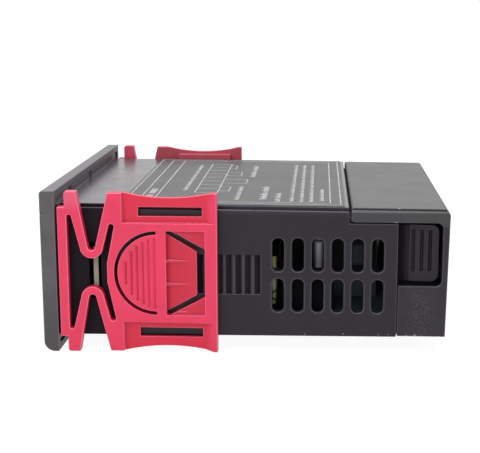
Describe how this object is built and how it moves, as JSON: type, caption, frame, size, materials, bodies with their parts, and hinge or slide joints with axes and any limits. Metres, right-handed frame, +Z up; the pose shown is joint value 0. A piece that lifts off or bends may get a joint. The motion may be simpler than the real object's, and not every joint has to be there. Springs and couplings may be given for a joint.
{
  "type": "panel-mount digital temperature controller",
  "caption": "Panel-mount digital temperature controller with a window, keys, ratchet side clips, vented case and a hinged rear cover over screw terminals.",
  "frame": {"origin": "middle of the panel cut-out, on the bezel's rear face that seats on the panel", "axes": "+X from the front panel to the rear, +Z up, +Y to the left of someone who faces the front"},
  "size_m": [0.0855, 0.075, 0.0344],
  "materials": {
    "case_plastic": "fine moulded grain",
    "bezel_plastic": "fine moulded grain",
    "cover_plastic": "fine moulded grain",
    "clip_plastic": "satin",
    "label_sheet": "satin print",
    "window_lens": "smoked, polished",
    "key_plastic": "satin",
    "display_face": "matt",
    "segment_lens": "frosted",
    "lamp_lens": "clear",
    "switch_plastic": "matt",
    "circuit_board": "laminate with lacquer",
    "connector_plastic": "matt",
    "chip_plastic": "fine grain",
    "relay_case": "satin",
    "capacitor_can": "bare can",
    "capacitor_box": "moulded box",
    "varistor_coat": "dipped coat",
    "ferrite": "sintered",
    "bobbin_plastic": "matt",
    "winding_tape": "film tape",
    "strip_plastic": "matt",
    "screw_steel": "zinc plated",
    "clamp_plate": "tin plated"
  },
  "bodies": {
    "housing": {"case_shell": "case_plastic", "front_bezel": "bezel_plastic", "rating_label": "label_sheet", "display_window": "window_lens", "digit_display": "display_face", "digit_segments": "segment_lens", "indicator_leds": "lamp_lens", "switch_bodies": "switch_plastic", "display_board": "circuit_board", "main_board": "circuit_board", "board_header": "connector_plastic", "buzzer": "connector_plastic", "controller_chip": "chip_plastic", "voltage_regulator": "chip_plastic", "relay_heating": "relay_case", "relay_cooling": "relay_case", "filter_capacitor": "capacitor_can", "smoothing_capacitor": "capacitor_can", "suppression_capacitor": "capacitor_box", "varistor": "varistor_coat", "transformer_core": "ferrite", "transformer_bobbin": "bobbin_plastic", "transformer_tape": "winding_tape", "transformer_winding": "winding_tape", "terminal_block": "strip_plastic", "terminal_screws": "screw_steel", "terminal_clamps": "clamp_plate"},
    "right_clip": {"mounting_clip_right": "clip_plastic"},
    "left_clip": {"mounting_clip_left": "clip_plastic"},
    "rear_cover": {"terminal_cover": "cover_plastic"},
    "up_button": {"key_up": "key_plastic", "up_plunger": "switch_plastic"},
    "power_button": {"key_power": "key_plastic", "power_plunger": "switch_plastic"},
    "down_button": {"key_down": "key_plastic", "down_plunger": "switch_plastic"},
    "menu_button": {"key_menu": "key_plastic", "menu_plunger": "switch_plastic"}
  },
  "joints": [
    {"name": "right_clip_slide", "type": "slide", "parent": "housing", "child": "right_clip", "axis": [1, 0, 0], "range_m": [-0.0004, 0.082]},
    {"name": "left_clip_slide", "type": "slide", "parent": "housing", "child": "left_clip", "axis": [1, 0, 0], "range_m": [-0.0004, 0.082]},
    {"name": "cover_hinge", "type": "hinge", "parent": "housing", "child": "rear_cover", "pos_m": [0.06215, 0, 0.01255], "axis": [0, -1, 0], "range_deg": [0, 85]},
    {"name": "up_key_press", "type": "slide", "parent": "housing", "child": "up_button", "axis": [1, 0, 0], "range_m": [0, 0.0004], "stiffness_N_per_m": 2000},
    {"name": "power_key_press", "type": "slide", "parent": "housing", "child": "power_button", "axis": [1, 0, 0], "range_m": [0, 0.0004], "stiffness_N_per_m": 2000},
    {"name": "down_key_press", "type": "slide", "parent": "housing", "child": "down_button", "axis": [1, 0, 0], "range_m": [0, 0.0004], "stiffness_N_per_m": 2000},
    {"name": "menu_key_press", "type": "slide", "parent": "housing", "child": "menu_button", "axis": [1, 0, 0], "range_m": [0, 0.0004], "stiffness_N_per_m": 2000}
  ]
}
